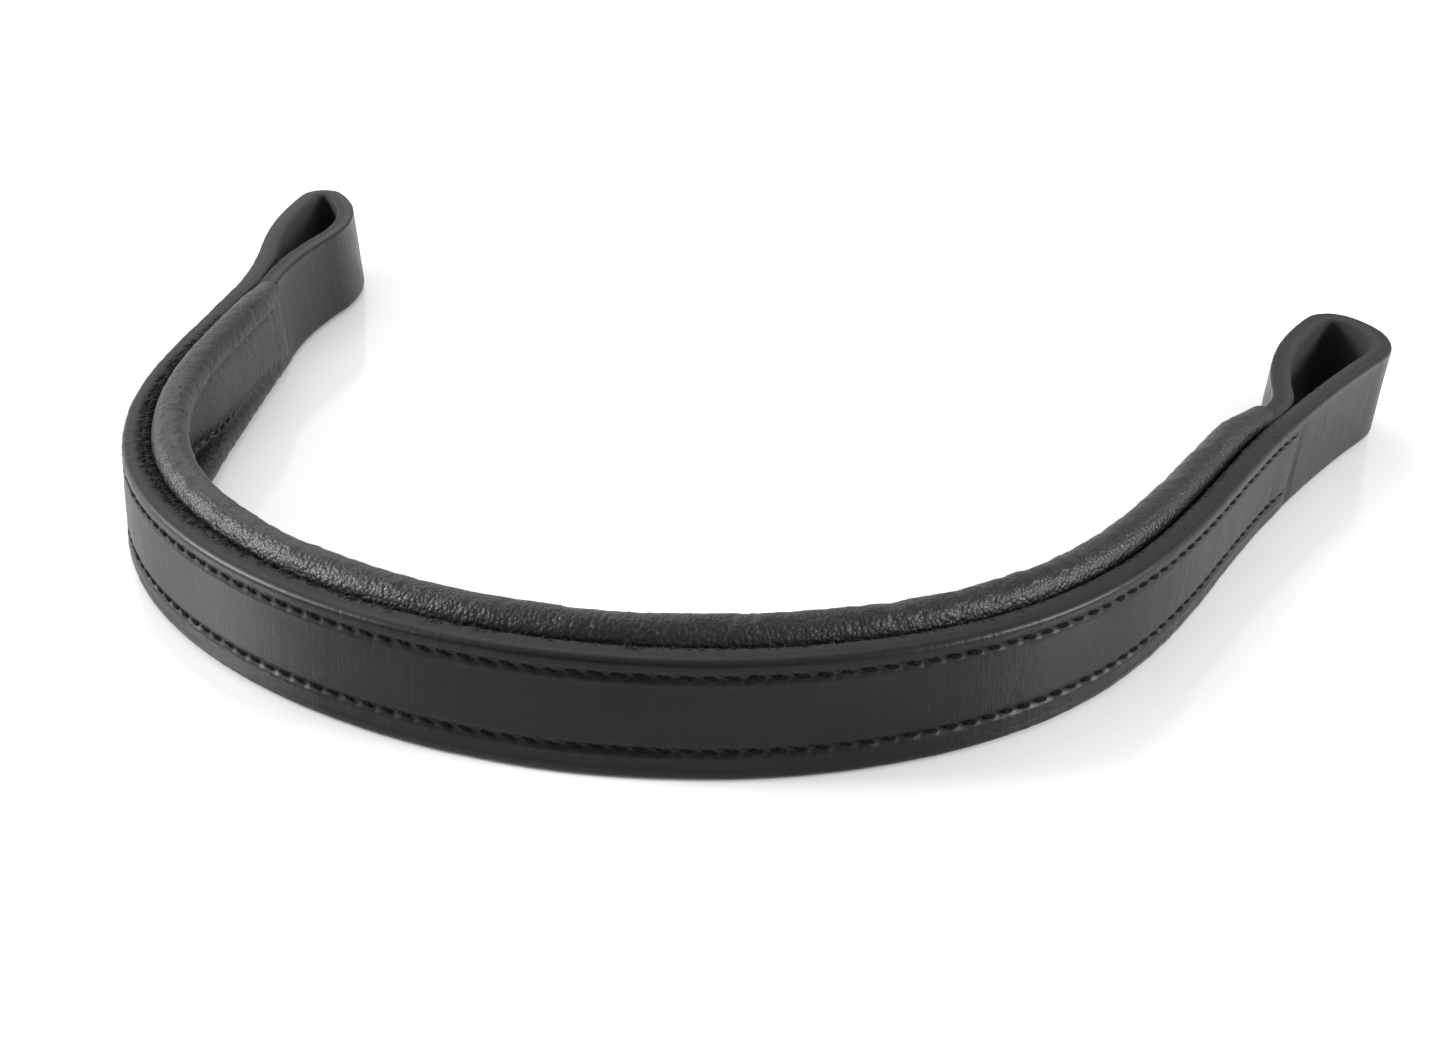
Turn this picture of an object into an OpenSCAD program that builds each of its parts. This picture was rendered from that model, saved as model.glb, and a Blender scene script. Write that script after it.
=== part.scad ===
// Padded bridle browband: one leather face strap whose ends turn back into
// open loops, a soft lining behind it over three foam strips, and two rows of
// lockstitch. +Z is up along the strap's width, X runs across the forehead and
// the two end loops point along +Y. The origin is the middle of the flat under
// the lower roll at the front, on which the browband stands. Right is +X.
//
// The leather is one piece from loop to loop. A solid cannot bend, so it is
// parted at six lines across it: two in each arm and one at the throat of each
// loop. Those partings are bending lines, not seams.

/* [Face strap] */
// Width of the face strap, top edge to bottom edge
strap_w = 15.7; // [15:0.1:16]
// Thickness of the face strap
strap_t = 3.5; // [3:0.1:3.5]
// Height of the strap's lower edge above the lining's lower edge
strap_z = 0.2; // [0.1:0.1:0.6]
// Rounding of the strap's edges
edge_r = 1.0; // [0.4:0.1:1.3]

/* [Plan curve] */
// Radius of the curve over the forehead
front_r = 89.5; // [85:0.1:95]
// Half length of the forehead curve, to the temple's bending line
front_len = 50; // [46:0.5:54]
// Radius of the curve over the temple
temple_r = 72.9; // [68:0.1:80]
// Length of the temple curve, to the arm's bending line
temple_len = 53; // [50:0.5:56]
// Radius of the arm behind the temple
arm_r = 915.5; // [700:0.5:1500]
// Length of the right arm, to its loop's throat
right_arm_len = 50; // [48:0.5:52]
// Length of the left arm, to its loop's throat
left_arm_len = 43.5; // [42:0.5:48]

/* [Lining and foam] */
// Thickness of the lining leather
lining_t = 1.0; // [0.8:0.1:1.0]
// Radius of the upper roll, which stands above the strap
roll_r = 2.8; // [2.7:0.05:2.9]
// Height of the upper roll's centre
roll_z = 15.2; // [15:0.1:15.4]
// Radius of the lower roll
lower_r = 2.6; // [2.5:0.05:2.7]
// Thickness of the padding between the rolls, lining included
mid_t = 2.8; // [2.4:0.1:3.2]
// Radius of the upper roll's foam
roll_core_r = 1.6; // [1.2:0.1:1.6]
// Radius of the lower roll's foam
lower_core_r = 1.3; // [1:0.1:1.3]

/* [Turned-back tails] */
// Thickness of the tail, which is skived thinner than the strap
tail_t = 2.0; // [1.6:0.1:2.2]
// Height of the tail's lower edge
tail_z0 = 2.9; // [2.8:0.1:3.2]
// Height of the tail's upper edge
tail_z1 = 14.7; // [14.2:0.1:14.7]

/* [End loops] */
// Thickness of the leather in the loops
loop_t = 3.3; // [3:0.1:3.4]
// Angle by which each loop leans outwards at its throat
loop_lean = 5; // [3:0.1:6]
// Right loop: radius of the outer wall
right_wall_r = 366.3; // [340:0.1:400]
// Right loop: angle of the outer wall, turning outwards
right_wall_a = 4.88; // [4.7:0.01:5.1]
// Right loop: radius of the shoulder
right_shoulder_r = 13.3; // [13:0.1:13.6]
// Right loop: angle of the shoulder
right_shoulder_a = 78.97; // [78:0.01:80]
// Right loop: radius of the tip
right_tip_r = 3.3; // [3.1:0.1:3.5]
// Right loop: angle of the tip
right_tip_a = 102.53; // [102:0.01:103]
// Right loop: radius of the inner wall
right_back_r = 67.7; // [67:0.1:68.5]
// Right loop: angle of the inner wall
right_back_a = 30.21; // [29.8:0.01:30.6]
// Right loop: radius of the bend at the throat
right_throat_r = 16.7; // [16:0.1:17.4]
// Left loop: radius of the outer wall
left_wall_r = 130.6; // [125:0.1:140]
// Left loop: angle of the outer wall, turning outwards
left_wall_a = 8.19; // [8:0.01:8.4]
// Left loop: radius of the shoulder
left_shoulder_r = 106.4; // [104:0.1:109]
// Left loop: angle of the shoulder
left_shoulder_a = 17.37; // [17:0.01:17.8]
// Left loop: radius of the tip
left_tip_r = 2.5; // [2.4:0.1:2.8]
// Left loop: angle of the tip
left_tip_a = 136.69; // [136:0.01:137.4]
// Left loop: radius of the inner wall
left_back_r = 32; // [31.6:0.1:32.4]
// Left loop: angle of the inner wall
left_back_a = 52.01; // [51.6:0.01:52.4]
// Left loop: radius of the bend at the throat
left_throat_r = 78.5; // [77:0.1:80]

/* [Stitching] */
// Height of the lower stitch row
row_low = 3.95; // [3.9:0.05:4]
// Height of the upper stitch row
row_high = 13.7; // [13.6:0.05:13.75]
// Distance from one stitch to the next
pitch = 2.7; // [2.5:0.1:3]
// Length of the thread that shows in one stitch
dash = 2.0; // [1.6:0.1:2.2]
// Thickness of the thread
thread_d = 0.6; // [0.5:0.05:0.7]

/* [Bending lines] */
// Parting left in the leather at each bending line
flex_gap = 1.5; // [1.5:0.1:2]

/* [Hidden] */

$fn = 48;

black = [0.10, 0.10, 0.105];
soft_black = [0.15, 0.15, 0.155];
foam_grey = [0.35, 0.35, 0.36];
thread_black = [0.05, 0.05, 0.055];

// Stretches of the plan: the front runs to both sides of the middle
FRONT = 0;
TEMPLE = 1;
ARM = 2;
// Values of the argument "left"
RIGHT = false;
LEFT = true;

// Profile places: x is 0 on the strap's outer face and grows outwards, y is up
clearance = 0.05;                           // between layers
lining_x = -strap_t - clearance;            // face of the lining against the strap
roll_x = lining_x - clearance - roll_r;     // upper roll's centre
lower_x = lining_x - clearance - lower_r;   // lower roll's centre
lower_z = lower_r - 0.15;                   // cut at height 0, which leaves a flat
roll_core_z = roll_z + 0.5;
lower_core_z = lower_z - 0.25;
tail_pad_t = 2.6;                           // padding behind a tail
pad_z = 4.8;                                // pocket for the middle foam
pad_h = 8.1;
foam_inset = 2;                             // foam stops short of the arm's end
groove_d = 0.35;                            // stitch grooves in the strap
groove_w = 0.9;
pinch_d = 4;                                // stitch valleys in the lining
pinch_half_h = 1.6;
pinch_lift = 0.2;                           // valley's apex behind the padding
pinch_tail_d = 0.8;                         // valley's extra depth over a tail
half_gap = flex_gap / 2;

// Stitch places
thread_proud = 0.1;                         // thread above its groove or valley
needle_end_x = lining_x - 0.4;              // the two threads meet here,
bobbin_end_x = needle_end_x - 0.02;         // with a hair's breadth between
leg_w = 0.4;
bar_t = 0.42;

// Inner side of the padding and apex of its stitch valleys
function pad_x(over_tail) = lining_x - (over_tail ? tail_t + tail_pad_t : mid_t);
function pinch_x(over_tail) = pad_x(over_tail) - pinch_lift + (over_tail ? pinch_tail_d : 0);

// ---- chains of arcs [radius, length, +1 left or -1 right] ----
// A place is [x, y, heading].
HOME = [0, lower_x, 0];   // plan's start: puts the lower roll's flat on the origin

function plan(left) = [
  [front_r, front_len, 1],
  [temple_r, temple_len, 1],
  [arm_r, left ? left_arm_len : right_arm_len, 1]
];

// Outer wall, shoulder, tip, inner wall and throat of a loop. The throat's
// angle is what leaves the whole chain turned by 180.
LOOP_TURNS = [-1, 1, 1, 1, -1];
function loop_arcs(radii, angles) =
  let (all_angles = concat(angles, [angles[1] + angles[2] + angles[3] - angles[0] - 180]))
  [for (i = [0 : 4]) [radii[i], radii[i] * all_angles[i] * PI / 180, LOOP_TURNS[i]]];
RIGHT_LOOP = loop_arcs(
  radii = [right_wall_r, right_shoulder_r, right_tip_r, right_back_r, right_throat_r],
  angles = [right_wall_a, right_shoulder_a, right_tip_a, right_back_a]);
LEFT_LOOP = loop_arcs(
  radii = [left_wall_r, left_shoulder_r, left_tip_r, left_back_r, left_throat_r],
  angles = [left_wall_a, left_shoulder_a, left_tip_a, left_back_a]);

function arc_angle(arc, length) = length / arc[0] * 180 / PI;
function arc_centre(place, arc) = [
  place[0] - arc[2] * arc[0] * sin(place[2]),
  place[1] + arc[2] * arc[0] * cos(place[2])
];
function walk(place, arc, length) =
  let (
    centre = arc_centre(place, arc),
    heading = place[2] + arc[2] * arc_angle(arc, length)
  )
  [
    centre[0] + arc[2] * arc[0] * sin(heading),
    centre[1] - arc[2] * arc[0] * cos(heading),
    heading
  ];
// Chain length before arc i, and the place where arc i starts
function length_to(arcs, i) = i == 0 ? 0 : length_to(arcs, i - 1) + arcs[i - 1][1];
function arc_start(arcs, i, start) =
  i == 0 ? start : walk(arc_start(arcs, i - 1, start), arcs[i - 1], arcs[i - 1][1]);
// Place on arc i, at a length measured from the chain's start
function place_on(arcs, i, length, start = HOME) =
  walk(arc_start(arcs, i, start), arcs[i], length - length_to(arcs, i));

// Ends of a stretch, between its partings
function stretch_start(stretch) =
  (stretch == FRONT ? -front_len : length_to(plan(RIGHT), stretch)) + half_gap;
function stretch_end(stretch, left) = length_to(plan(left), stretch + 1) - half_gap;

module side(left) {
  if (left) mirror([1, 0, 0]) children();
  else children();
}

// Sweeps the child profile along one stretch. inset shortens its far end.
module along(stretch, left, inset = 0) {
  arc = plan(left)[stretch];
  from = stretch_start(stretch);
  swept = stretch_end(stretch, left) - inset - from;
  place = place_on(plan(left), stretch, from);
  centre = arc_centre(place, arc);
  side(left)
    translate([centre[0], centre[1], 0])
      rotate([0, 0, place[2] - 90])
        rotate_extrude(angle = arc_angle(arc, swept), $fn = max(96, min(3000, 4 * arc[0])))
          translate([arc[0], 0]) children();
}

// ---- face strap and tails ----
function corner(x, y, r, from) =
  [for (i = [0 : 4]) [x + r * cos(from + i * 22.5), y + r * sin(from + i * 22.5)]];
module round_rect(x0, y0, x1, y1, r)
  polygon(concat(
    corner(x1 - r, y1 - r, r, 0), corner(x0 + r, y1 - r, r, 90),
    corner(x0 + r, y0 + r, r, 180), corner(x1 - r, y0 + r, r, 270)));

module face_strap(stretch, left = RIGHT)
  along(stretch, left) color(black) difference() {
    round_rect(-strap_t, strap_z, 0, strap_z + strap_w, edge_r);
    for (z = [row_low, row_high])
      translate([-groove_d, z - groove_w / 2]) square([2, groove_w]);
  }

module tail(left)
  along(ARM, left) color(black)
    translate([lining_x - tail_t, tail_z0]) square([tail_t, tail_z1 - tail_z0]);

// Room for the tail, open towards the strap
module tail_space()
  translate([lining_x - tail_t - clearance, tail_z0 - clearance])
    square([tail_t + 2, tail_z1 - tail_z0 + 2 * clearance]);

// ---- lining: two rolls joined by the padding's cover ----
// V-shaped valley in the lining where a stitch row pulls it in
module pinch(z, apex)
  polygon([[apex, z], [apex - pinch_d, z + pinch_half_h], [apex - pinch_d, z - pinch_half_h]]);

module lining(stretch, left = RIGHT) {
  over_tail = stretch == ARM;
  inner_x = pad_x(over_tail);
  along(stretch, left) color(soft_black) difference() {
    union() {
      translate([roll_x, roll_z]) circle(r = roll_r);
      translate([lower_x, lower_z]) circle(r = lower_r);
      translate([inner_x, lower_z]) square([lining_x - inner_x, roll_z - lower_z]);
    }
    // everything below height 0
    translate([-20, -5]) square([40, 5]);
    translate([roll_x, roll_core_z]) circle(r = roll_core_r + clearance);
    translate([lower_x, lower_core_z]) circle(r = lower_core_r + clearance);
    // foam pocket, open towards the strap
    translate([inner_x + lining_t, pad_z]) square([20, pad_h]);
    for (z = [row_high, row_low]) pinch(z, pinch_x(over_tail));
    if (over_tail) tail_space();
  }
}

// ---- foam ----
module along_foam(stretch, left)
  along(stretch, left, inset = stretch == ARM ? foam_inset : 0) children();

module round_foam(stretch, left, x, z, r)
  along_foam(stretch, left) color(foam_grey) difference() {
    translate([x, z]) circle(r = r);
    if (stretch == ARM) tail_space();
  }
module roll_foam(stretch, left = RIGHT)
  round_foam(stretch, left, x = roll_x, z = roll_core_z, r = roll_core_r);
module lower_foam(stretch, left = RIGHT)
  round_foam(stretch, left, x = lower_x, z = lower_core_z, r = lower_core_r);

module pad_foam(stretch, left = RIGHT) {
  over_tail = stretch == ARM;
  inner_x = pad_x(over_tail) + lining_t + clearance;
  outer_x = lining_x - clearance - (over_tail ? tail_t + clearance : 0);
  along_foam(stretch, left) color(foam_grey)
    translate([inner_x, pad_z + clearance])
      square([outer_x - inner_x, pad_h - 2 * clearance]);
}

// ---- stitches ----
// A staple of thread: its bar lies along the row at bar_x and both legs go
// into the leather as far as end_x, where the two threads meet.
module staple(bar_x, end_x) {
  half = dash / 2;
  bar_inside = -bar_x + sign(bar_x - end_x) * bar_t;
  translate([0, 0, -thread_d / 2]) linear_extrude(thread_d)
    polygon([
      [-half, -bar_x], [half, -bar_x], [half, -end_x],
      [half - leg_w, -end_x], [half - leg_w, bar_inside],
      [-half + leg_w, bar_inside], [-half + leg_w, -end_x],
      [-half, -end_x]
    ]);
}

// Whole stitches only, centred on the stretch
module stitch_row(stretch, left, z, bar_x, end_x) {
  from = stretch_start(stretch);
  run = stretch_end(stretch, left) - from;
  count = floor(run / pitch);
  first = from + (run - (count - 1) * pitch) / 2;
  side(left) color(thread_black) for (i = [0 : count - 1]) {
    place = place_on(plan(left), stretch, first + i * pitch);
    translate([place[0], place[1], z]) rotate([0, 0, place[2]]) staple(bar_x, end_x);
  }
}

// Needle thread shows on the strap, bobbin thread on the lining
module needle(z, stretch, left = RIGHT)
  stitch_row(stretch, left, z, bar_x = thread_proud, end_x = needle_end_x);
module bobbin(z, stretch, left = RIGHT)
  stitch_row(stretch, left, z, bar_x = pinch_x(stretch == ARM) - thread_proud,
    end_x = bobbin_end_x);

// ---- end loops: one wall of even thickness along the chain ----
loop_z = strap_z + 0.6;
loop_h = strap_w - 0.7;
facet_angle = 6;
tiny = 0.01;      // shorter pieces of arc are left out

// Points beside the chain, offset to the right of its heading and drawn in by
// half a parting at both ends
function wall_edge(arcs, start, offset) =
  let (edge_from = half_gap, edge_to = length_to(arcs, len(arcs)) - half_gap)
  [
    for (i = [0 : len(arcs) - 1])
      let (
        before = length_to(arcs, i),
        from = max(edge_from, before),
        to = min(edge_to, before + arcs[i][1])
      )
      if (to - from > tiny)
        let (
          facets = max(3, ceil(arc_angle(arcs[i], to - from) / facet_angle)),
          last = to > edge_to - tiny
        )
        for (j = [0 : last ? facets : facets - 1])
          let (place = place_on(arcs, i, from + (to - from) * j / facets, start))
          [place[0] + offset * sin(place[2]), place[1] - offset * cos(place[2])]
  ];
function backwards(points) = [for (i = [len(points) - 1 : -1 : 0]) points[i]];

module end_loop(left) {
  arcs = left ? LEFT_LOOP : RIGHT_LOOP;
  arm_end = place_on(plan(left), ARM, length_to(plan(left), ARM + 1));
  // starts at mid thickness of the strap
  start = [
    arm_end[0] - strap_t / 2 * sin(arm_end[2]),
    arm_end[1] + strap_t / 2 * cos(arm_end[2]),
    arm_end[2] - loop_lean
  ];
  color(black) side(left)
    translate([0, 0, loop_z]) linear_extrude(loop_h)
      polygon(concat(
        wall_edge(arcs, start, loop_t / 2),
        backwards(wall_edge(arcs, start, -loop_t / 2))));
}

face_strap(FRONT);  // face_strap_front
face_strap(TEMPLE, RIGHT);  // face_strap_temple_right
face_strap(TEMPLE, LEFT);  // face_strap_temple_left
face_strap(ARM, RIGHT);  // face_strap_arm_right
face_strap(ARM, LEFT);  // face_strap_arm_left
lining(FRONT);  // lining_front
lining(TEMPLE, RIGHT);  // lining_temple_right
lining(TEMPLE, LEFT);  // lining_temple_left
lining(ARM, RIGHT);  // lining_arm_right
lining(ARM, LEFT);  // lining_arm_left
roll_foam(FRONT);  // roll_foam_front
roll_foam(TEMPLE, RIGHT);  // roll_foam_temple_right
roll_foam(TEMPLE, LEFT);  // roll_foam_temple_left
roll_foam(ARM, RIGHT);  // roll_foam_arm_right
roll_foam(ARM, LEFT);  // roll_foam_arm_left
pad_foam(FRONT);  // pad_foam_front
pad_foam(TEMPLE, RIGHT);  // pad_foam_temple_right
pad_foam(TEMPLE, LEFT);  // pad_foam_temple_left
pad_foam(ARM, RIGHT);  // pad_foam_arm_right
pad_foam(ARM, LEFT);  // pad_foam_arm_left
lower_foam(FRONT);  // lower_foam_front
lower_foam(TEMPLE, RIGHT);  // lower_foam_temple_right
lower_foam(TEMPLE, LEFT);  // lower_foam_temple_left
lower_foam(ARM, RIGHT);  // lower_foam_arm_right
lower_foam(ARM, LEFT);  // lower_foam_arm_left
needle(row_high, FRONT);  // needle_upper_front
needle(row_high, TEMPLE, RIGHT);  // needle_upper_temple_right
needle(row_high, TEMPLE, LEFT);  // needle_upper_temple_left
needle(row_high, ARM, RIGHT);  // needle_upper_arm_right
needle(row_high, ARM, LEFT);  // needle_upper_arm_left
needle(row_low, FRONT);  // needle_lower_front
needle(row_low, TEMPLE, RIGHT);  // needle_lower_temple_right
needle(row_low, TEMPLE, LEFT);  // needle_lower_temple_left
needle(row_low, ARM, RIGHT);  // needle_lower_arm_right
needle(row_low, ARM, LEFT);  // needle_lower_arm_left
bobbin(row_high, FRONT);  // bobbin_upper_front
bobbin(row_high, TEMPLE, RIGHT);  // bobbin_upper_temple_right
bobbin(row_high, TEMPLE, LEFT);  // bobbin_upper_temple_left
bobbin(row_high, ARM, RIGHT);  // bobbin_upper_arm_right
bobbin(row_high, ARM, LEFT);  // bobbin_upper_arm_left
bobbin(row_low, FRONT);  // bobbin_lower_front
bobbin(row_low, TEMPLE, RIGHT);  // bobbin_lower_temple_right
bobbin(row_low, TEMPLE, LEFT);  // bobbin_lower_temple_left
bobbin(row_low, ARM, RIGHT);  // bobbin_lower_arm_right
bobbin(row_low, ARM, LEFT);  // bobbin_lower_arm_left
tail(RIGHT);  // tail_right
tail(LEFT);  // tail_left
end_loop(RIGHT);  // loop_right
end_loop(LEFT);  // loop_left
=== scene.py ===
# A padded leather strap with a closed loop at each end, stitched to a soft lining.
#
# It stands on edge on the table, z up. Its middle lies at x = 0 with the outer face
# towards -y, and its two arms curve back towards +y. Right is +x, left is -x.
#
# Most shapes are built in strap coordinates, in millimetres:
#   along  length along the strap's outer face from the middle, negative on the left
#   out    distance outwards from that face, so the lining has negative values
#   z      height above the table
# "side" is 1 for right and -1 for left. The throat is where the strap meets its loop.
import math

import bpy
import numpy as np
from mathutils import Matrix, Vector


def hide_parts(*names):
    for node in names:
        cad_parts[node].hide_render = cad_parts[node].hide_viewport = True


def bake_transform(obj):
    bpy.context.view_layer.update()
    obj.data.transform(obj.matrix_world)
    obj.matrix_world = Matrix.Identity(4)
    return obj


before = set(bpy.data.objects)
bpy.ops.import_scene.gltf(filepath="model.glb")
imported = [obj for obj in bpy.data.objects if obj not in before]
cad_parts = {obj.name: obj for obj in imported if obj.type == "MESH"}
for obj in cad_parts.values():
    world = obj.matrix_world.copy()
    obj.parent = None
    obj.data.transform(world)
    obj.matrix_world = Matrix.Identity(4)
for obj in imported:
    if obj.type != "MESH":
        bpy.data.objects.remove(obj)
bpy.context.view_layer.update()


# =====================================================================
# Driving dimensions, millimetres
# =====================================================================
MM = 0.001                             # metres in a millimetre
STRAP_T = 3.5                          # thickness
STRAP_Z = 0.2                          # lower edge
STRAP_TOP = STRAP_Z + 15.7
LINING_FRONT = -(STRAP_T + 0.1)        # "out" of the lining's side against the strap
LOOP_T = 3.3
LOOP_RAISE = 0.35                      # lower edge of a loop above the strap's
LOOP_LEAN = {1: -0.7, -1: 2.2}         # degrees each loop leans outwards at its throat
ROLL_R, ROLL_Z = 2.8, 15.2             # upper roll: radius, centre height
LOW_R = 2.6                            # lower roll radius
FLAT_OUT, ARM_FLAT_OUT = -6.35, -8.15  # inner face of the lining's flat: middle, arms
THROAT_FLAT_OUT = -7.35                # the same right at a throat
MID_Z = 8.8                            # mid height of the flat
ROW_LOW, ROW_HIGH, PITCH = 3.95, 13.7, 2.7     # stitch rows: heights, stitch spacing
STITCH_HALF = PITCH * 0.37             # half the length of a stitch
LENGTH = {1: 153.0, -1: 146.5}         # middle to throat
LINING_LENGTH = {side: length - 0.2 for side, length in LENGTH.items()}
HOME_Y = LINING_FRONT - LOW_R          # y of the outer face at the middle
CUTS = (76.5, 128.0)                   # where a side is cut into its three pieces
STEP = 0.3                             # between rings
FINE = 0.05                            # between points of the paths

# Plan curvature, 1/mm, at even stations from the middle to a throat
CURVATURE = [0.0108679245, 0.0110188679, 0.0114716981, 0.0143396226,
             0.0134339623, 0.0049811321, -0.0016603774, -0.0078490566]
CURVATURE_STEP = 22.336

# Loop centre lines, throat to tail: (radius, degrees), positive turning inwards
LOOP_ARCS = {
    1: [(-366.3, 4.88), (13.3, 78.97), (3.3, 102.53), (67.7, 30.21), (-16.7, 26.84)],
    -1: [(-130.6, 8.19), (106.4, 17.37), (2.5, 136.69), (32.0, 52.01), (-78.5, 17.76)],
}
LEAN_BEND = 3.0                        # length over which a loop takes up its lean
TAIL_INNER = 112.0                     # the tails reach back to this station

# How far the strap's lower edge stands inwards of its top edge, by station
TWIST_AT = [-146, -120, -98, -75, -40, 0, 40, 70, 100, 125, 153]
TWIST = [1.1, 0.9, 0.3, -1.0, -1.15, -1.15, -1.1, -0.5, 0.3, 0.8, 0.9]
# How far the whole strap stands outwards of the design curve, by station
SHIFT_AT = [-146, -135, -105, -85, 0, 153]
SHIFT = [0.2, 0.4, 0.4, 0.0, 0.0, 0.0]

SIDE = {1: "right", -1: "left"}
PARTS = ("forehead", "temple", "arm")


# =====================================================================
# Smoothing and noise
# =====================================================================
def smoothed(values, width, mode="edge"):
    """moving average with a Hann window; mode says how the ends are padded"""
    kernel = np.hanning(width + 2)[1:-1]
    kernel /= kernel.sum()
    padded = np.pad(values, (width, width), mode=mode)
    return np.convolve(padded, kernel, mode="same")[width:-width]


def ease(start, end, x):
    """smooth step from 0 at start to 1 at end"""
    t = np.clip((x - start) / (end - start), 0, 1)
    return t * t * (3 - 2 * t)


def bell(x, centre, width):
    return np.exp(-((x - centre) / width) ** 2)


def hashed(x, y, layer, seed):
    """repeatable random value in [0, 1] for each whole-numbered x, y"""
    bits = (x.astype(np.int64) * 374761393 + y.astype(np.int64) * 668265263
            + layer * 2147483647 + seed * 974634777) & 0xFFFFFFFF
    bits = ((bits ^ (bits >> 13)) * 1274126177) & 0xFFFFFFFF
    bits = ((bits ^ (bits >> 16)) * 2246822519) & 0xFFFFFFFF
    return ((bits ^ (bits >> 15)) & 0xFFFFFF) / float(0xFFFFFF)


def noise(x, y, seed):
    """value noise in [-1, 1]"""
    x0, y0 = np.floor(x), np.floor(y)
    u, v = (t * t * t * (t * (t * 6 - 15) + 10) for t in (x - x0, y - y0))
    low = hashed(x0, y0, 0, seed) * (1 - u) + hashed(x0 + 1, y0, 0, seed) * u
    high = hashed(x0, y0 + 1, 0, seed) * (1 - u) + hashed(x0 + 1, y0 + 1, 0, seed) * u
    return (low * (1 - v) + high * v) * 2 - 1


def layered_noise(x, y, seed, octaves):
    total, weight, weights = 0, 1.0, 0
    for i in range(octaves):
        total = total + weight * noise(x * 2 ** i + 17.3 * i, y * 2 ** i + 5.1 * i, seed + i)
        weights += weight
        weight *= 0.5
    return total / weights


def creases(values, width):
    """-1 where the noise crosses zero, rising to 0 at width on either side"""
    return -np.clip(width - np.abs(values), 0, 1) / width


def cells(x, y, seed):
    """distances to the nearest and second nearest jittered cell point"""
    x0, y0 = np.floor(x), np.floor(y)
    nearest = np.full(x.shape, 9.0)
    second = np.full(x.shape, 9.0)
    for i in (-1, 0, 1):
        for j in (-1, 0, 1):
            cell_x, cell_y = x0 + i, y0 + j
            point_x = cell_x + 0.15 + 0.7 * hashed(cell_x, cell_y, 0, seed)
            point_y = cell_y + 0.15 + 0.7 * hashed(cell_x, cell_y, 1, seed)
            distance = np.hypot(point_x - x, point_y - y)
            second = np.minimum(second, np.maximum(distance, nearest))
            nearest = np.minimum(nearest, distance)
    return nearest, second


# =====================================================================
# Paths
# =====================================================================
def running_sum(values):
    return np.concatenate([[0], np.cumsum(values) * FINE])


def trace(heading):
    """x and y of a path that follows the headings in FINE steps"""
    middle = (heading[1:] + heading[:-1]) / 2
    return running_sum(np.cos(middle)), running_sum(np.sin(middle))


def plan_curve():
    """stations, x, y and heading of the right half of the outer face"""
    stations = np.arange(0, 176.0 + 1e-9, FINE)
    curvature = np.interp(stations, np.arange(len(CURVATURE)) * CURVATURE_STEP, CURVATURE)
    curvature = smoothed(curvature, 121)
    heading = running_sum((curvature[1:] + curvature[:-1]) / 2)
    x, y = trace(heading)
    return stations, x, y + HOME_Y, heading


PLAN_AT, PLAN_X, PLAN_Y, PLAN_HEADING = plan_curve()


def plan(along):
    """x, y and heading (towards +x at the middle) on the strap's outer face"""
    distance = np.abs(along)
    sign = np.where(along < 0, -1.0, 1.0)
    return (sign * np.interp(distance, PLAN_AT, PLAN_X),
            np.interp(distance, PLAN_AT, PLAN_Y),
            sign * np.interp(distance, PLAN_AT, PLAN_HEADING))


def offset(x, y, heading, out):
    return x + out * np.sin(heading), y - out * np.cos(heading)


def place(along, out, z):
    """points from strap coordinates"""
    x, y, heading = plan(along)
    x_out, y_out = offset(x, y, heading, out)
    return np.stack([x_out, y_out, z * np.ones_like(x)], -1)


def twist(points, along):
    """lean rings of points, one station per ring, about the strap's top edge"""
    heading = plan(along)[2][:, None]
    lean = np.interp(along, TWIST_AT, TWIST)[:, None] * (points[..., 2] - STRAP_TOP) / STRAP_TOP
    lean = lean + np.interp(along, SHIFT_AT, SHIFT)[:, None]
    points[..., 0], points[..., 1] = offset(points[..., 0], points[..., 1], heading, lean)
    return points


def from_throat(along):
    """distance from the nearer end of the lining"""
    return np.where(along < 0, LINING_LENGTH[-1] + along, LINING_LENGTH[1] - along)


def on_arm(along):
    """0 in the middle, 1 where the lining's flat is thick"""
    return ease(98.0, 112.0, np.abs(along))


def loop_path(side):
    """centre line of a loop, drawn on the right side: length, x, y, heading"""
    lean = LOOP_LEAN[side]
    radius = LEAN_BEND / math.radians(lean)
    arcs = [(-radius, abs(lean))] + LOOP_ARCS[side] + [(radius, abs(lean))]
    curvature = np.concatenate([
        np.full(int(round(abs(r) * math.radians(turn) / FINE)), 1.0 / r) for r, turn in arcs])
    full_turn = sum(math.copysign(math.radians(turn), r) for r, turn in arcs)
    curvature = smoothed(curvature, 61)
    curvature *= full_turn / (curvature.sum() * FINE)
    x0, y0, heading0 = [float(v[0]) for v in plan(np.array([LENGTH[side]]))]
    heading = heading0 + running_sum(curvature)
    start_x, start_y = offset(x0, y0, heading0, -STRAP_T / 2)
    end_x, end_y = offset(x0, y0, heading0, LINING_FRONT - LOOP_T / 2)
    dx, dy = trace(heading)
    x, y = start_x + dx, start_y + dy
    # close the small gap to the end point, spread along the length
    share = np.linspace(0, 1, len(x)) ** 1.5
    return (np.arange(len(x)) * FINE, x + (end_x - x[-1]) * share,
            y + (end_y - y[-1]) * share, heading)


# =====================================================================
# Outlines and meshes
# =====================================================================
def resample(points, count):
    """a closed outline as evenly spaced points, and their distances around it"""
    closed = np.concatenate([points, points[:1]])
    distance = np.concatenate([[0], np.cumsum(np.hypot(*np.diff(closed, axis=0).T))])
    even = np.linspace(0, distance[-1], count, endpoint=False)
    return np.stack([np.interp(even, distance, closed[:, i]) for i in (0, 1)], -1), even


def arc(x, y, radius, start, end, count):
    """points of an arc, angles in degrees"""
    angle = np.radians(np.linspace(start, end, count))
    return np.stack([x + radius * np.cos(angle), y + radius * np.sin(angle)], -1)


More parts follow.
